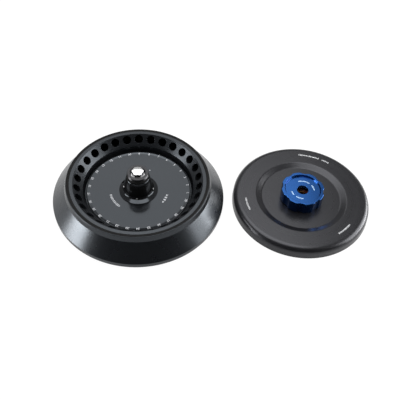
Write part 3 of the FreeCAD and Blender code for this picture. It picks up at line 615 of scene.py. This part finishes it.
def make_threaded_insert():
    """The knob's insert: smooth skirt below, thread in its upper bore."""
    low, high = (corner.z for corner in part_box("knob_insert"))
    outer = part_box("knob_insert")[1].x - LID_AXIS.x
    skirt = mount_of("hub_socket")["dims"]["r_mm"] * MM
    wall = thread_wall(INSERT_BORE, INSERT_SHOULDER, high)
    outline = [(outer, high), (outer, low), (skirt, low), (skirt, INSERT_SHOULDER), *wall]
    data = turned_mesh(outline, LID_AXIS, thread_shift(wall, 4, 1.0))
    piece = finish_piece("threaded_insert", data, "knob_group", "bronze")
    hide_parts("knob_insert")


make_threaded_collar()
make_threaded_insert()


# Camera, fitted to the photograph's ellipses

CAMERA_PLACE = Vector((75.3 * MM, -525.4 * MM, 635.0 * MM))
CAMERA_YAW = math.radians(0.48)
CAMERA_PITCH = math.radians(50.28)
CAMERA_ROLL = math.radians(3.30)
FOCAL_PIXELS = 629.0
FRAME_PIXELS = 400.0
SENSOR_WIDE = 36.0


def make_camera():
    level_ahead = Vector((math.sin(CAMERA_YAW), math.cos(CAMERA_YAW), 0.0))
    down = Vector((0.0, 0.0, -1.0))
    ahead = math.cos(CAMERA_PITCH) * level_ahead + math.sin(CAMERA_PITCH) * down
    level = Vector((math.cos(CAMERA_YAW), -math.sin(CAMERA_YAW), 0.0))
    up = level.cross(ahead)
    right = math.cos(CAMERA_ROLL) * level + math.sin(CAMERA_ROLL) * up
    top = -math.sin(CAMERA_ROLL) * level + math.cos(CAMERA_ROLL) * up
    data = bpy.data.cameras.new("camera")
    data.sensor_width = SENSOR_WIDE
    data.lens = FOCAL_PIXELS / FRAME_PIXELS * SENSOR_WIDE
    data.clip_start = 0.01
    data.clip_end = 50.0
    camera = put(bpy.data.objects.new("camera", data))
    turn = Matrix((right, top, -ahead)).transposed().to_4x4()
    camera.matrix_world = Matrix.Translation(CAMERA_PLACE) @ turn
    bpy.context.scene.camera = camera


make_camera()


# Studio: a white table and background, soft lamps behind, above and in pairs at both sides

TABLE_HALF = 6.0
TABLE_GLOW = 1.06
TABLE_SEEN = 0.9  # share of the glow that the camera sees, so that a faint shadow stays
TABLE_MIRRORED = 0.58  # share of the glow that the object mirrors
PAINTED_SHADE_INNER = 70.0 * MM  # painted shade under the lid: the table doesn't glow inside this radius, and fully outside the next
PAINTED_SHADE_OUTER = 88.0 * MM


def make_table():
    """White table that keeps a faint shadow; its glow is taken away where the lid stands, a painted
    shade under the lid.
    """
    graph = Graph("table_white")
    speckle = graph.noise(6.0, 2.0, place=graph.place())
    graph.set(
        Base_Color=graph.mix(speckle, (0.8, 0.8, 0.8, 1.0), (0.82, 0.82, 0.82, 1.0)),
        Roughness=0.9,
        Specular_IOR_Level=0.0,
    )
    glow = graph.node("ShaderNodeEmission")
    glow.inputs["Strength"].default_value = TABLE_GLOW
    path = graph.node("ShaderNodeLightPath")
    seen = graph.math("MULTIPLY", path.outputs["Is Camera Ray"], TABLE_SEEN)
    mirrored = graph.math("MULTIPLY", path.outputs["Is Glossy Ray"], TABLE_MIRRORED)
    # painted shade: the glow fades out towards the lid's axis, darkening the table under the lid
    outside_painted_lid_shade = graph.ramp(graph.distance(LID_AXIS), PAINTED_SHADE_INNER, PAINTED_SHADE_OUTER)
    share = graph.math("MULTIPLY", graph.math("ADD", seen, mirrored), outside_painted_lid_shade)
    blend = graph.node("ShaderNodeMixShader")
    out = graph.tree.nodes["Material Output"]
    graph.feed(blend.inputs[0], share)
    graph.feed(blend.inputs[1], graph.shader.outputs[0])
    graph.feed(blend.inputs[2], glow.outputs[0])
    graph.feed(out.inputs["Surface"], blend.outputs[0])
    data = bmesh.new()
    bmesh.ops.create_grid(data, x_segments=4, y_segments=4, size=TABLE_HALF)
    mesh = bpy.data.meshes.new("table")
    data.to_mesh(mesh)
    data.free()
    mesh.materials.append(graph.material)
    table = put(bpy.data.objects.new("table", mesh))


ROOM_STRENGTH = 0.4
ROOM_FRONT = 0.08  # how bright the room's front is beside its back
ROOM_DARK_TO = -0.75  # the room brightens between these two, as the Y part of a direction
ROOM_PALE_FROM = 0.35


def make_world():
    """White for the camera; for the object a pale room that is darker towards the front."""
    world = bpy.data.worlds.new("studio")
    bpy.context.scene.world = world
    world.use_nodes = True
    tree = world.node_tree
    tree.nodes.clear()
    seen = tree.nodes.new("ShaderNodeBackground")
    seen.inputs["Color"].default_value = (1.0, 1.0, 1.0, 1.0)
    room = tree.nodes.new("ShaderNodeBackground")
    room.inputs["Strength"].default_value = ROOM_STRENGTH
    path = tree.nodes.new("ShaderNodeLightPath")
    split = tree.nodes.new("ShaderNodeSeparateXYZ")
    ramp = tree.nodes.new("ShaderNodeMapRange")
    ramp.interpolation_type = "SMOOTHSTEP"
    ramp.inputs["From Min"].default_value = ROOM_DARK_TO
    ramp.inputs["From Max"].default_value = ROOM_PALE_FROM
    ramp.inputs["To Min"].default_value = ROOM_FRONT
    ramp.inputs["To Max"].default_value = 1.0
    coordinates = tree.nodes.new("ShaderNodeTexCoord")
    blend = tree.nodes.new("ShaderNodeMixShader")
    out = tree.nodes.new("ShaderNodeOutputWorld")
    tree.links.new(coordinates.outputs["Generated"], split.inputs[0])
    tree.links.new(split.outputs["Y"], ramp.inputs["Value"])
    tree.links.new(ramp.outputs["Result"], room.inputs["Color"])
    tree.links.new(path.outputs["Is Camera Ray"], blend.inputs[0])
    tree.links.new(room.outputs[0], blend.inputs[1])
    tree.links.new(seen.outputs[0], blend.inputs[2])
    tree.links.new(blend.outputs[0], out.inputs["Surface"])


def make_lamp(name, place, aim, wide, tall, radiance):
    """A soft rectangular lamp; its power follows from how bright its face is to be."""
    data = bpy.data.lights.new(name, "AREA")
    data.shape = "RECTANGLE"
    data.size = wide
    data.size_y = tall
    data.energy = radiance * math.pi * wide * tall
    lamp = put(bpy.data.objects.new(name, data))
    lamp.location = place
    lamp.rotation_euler = (Vector(aim) - Vector(place)).to_track_quat("-Z", "Y").to_euler()
    lamp.visible_camera = False


def make_lamps():
    """Each has a place, an aim, a width, a height and a radiance.

    The first two aim a hair off plumb, which gives them a definite roll.
    """
    make_lamp("lamp_back", (-0.08, 0.83, 1.0), (-0.08, 0.8301, 0.0), 1.08, 0.54, 1.85)
    make_lamp("lamp_over", (0.0, 0.18, 1.0), (0.0, 0.1801, 0.0), 0.86, 0.76, 4.0)
    make_lamp("lamp_left", (-0.98, -0.32, 0.16), (0.0, 0.0, 0.02), 0.44, 0.24, 25.0)
    make_lamp("lamp_left_high", (-0.93, -0.16, 0.5), (0.0, 0.0, 0.02), 0.5, 0.34, 7.0)
    make_lamp("lamp_right", (1.2, 0.08, 0.42), (0.1, 0.08, 0.1), 1.0, 0.84, 6.5)
    make_lamp("lamp_right_low", (1.16, 0.34, 0.13), (0.1, 0.0, 0.02), 0.66, 0.22, 12.0)


make_table()
make_world()
make_lamps()

bpy.context.scene.view_settings.view_transform = "Standard"
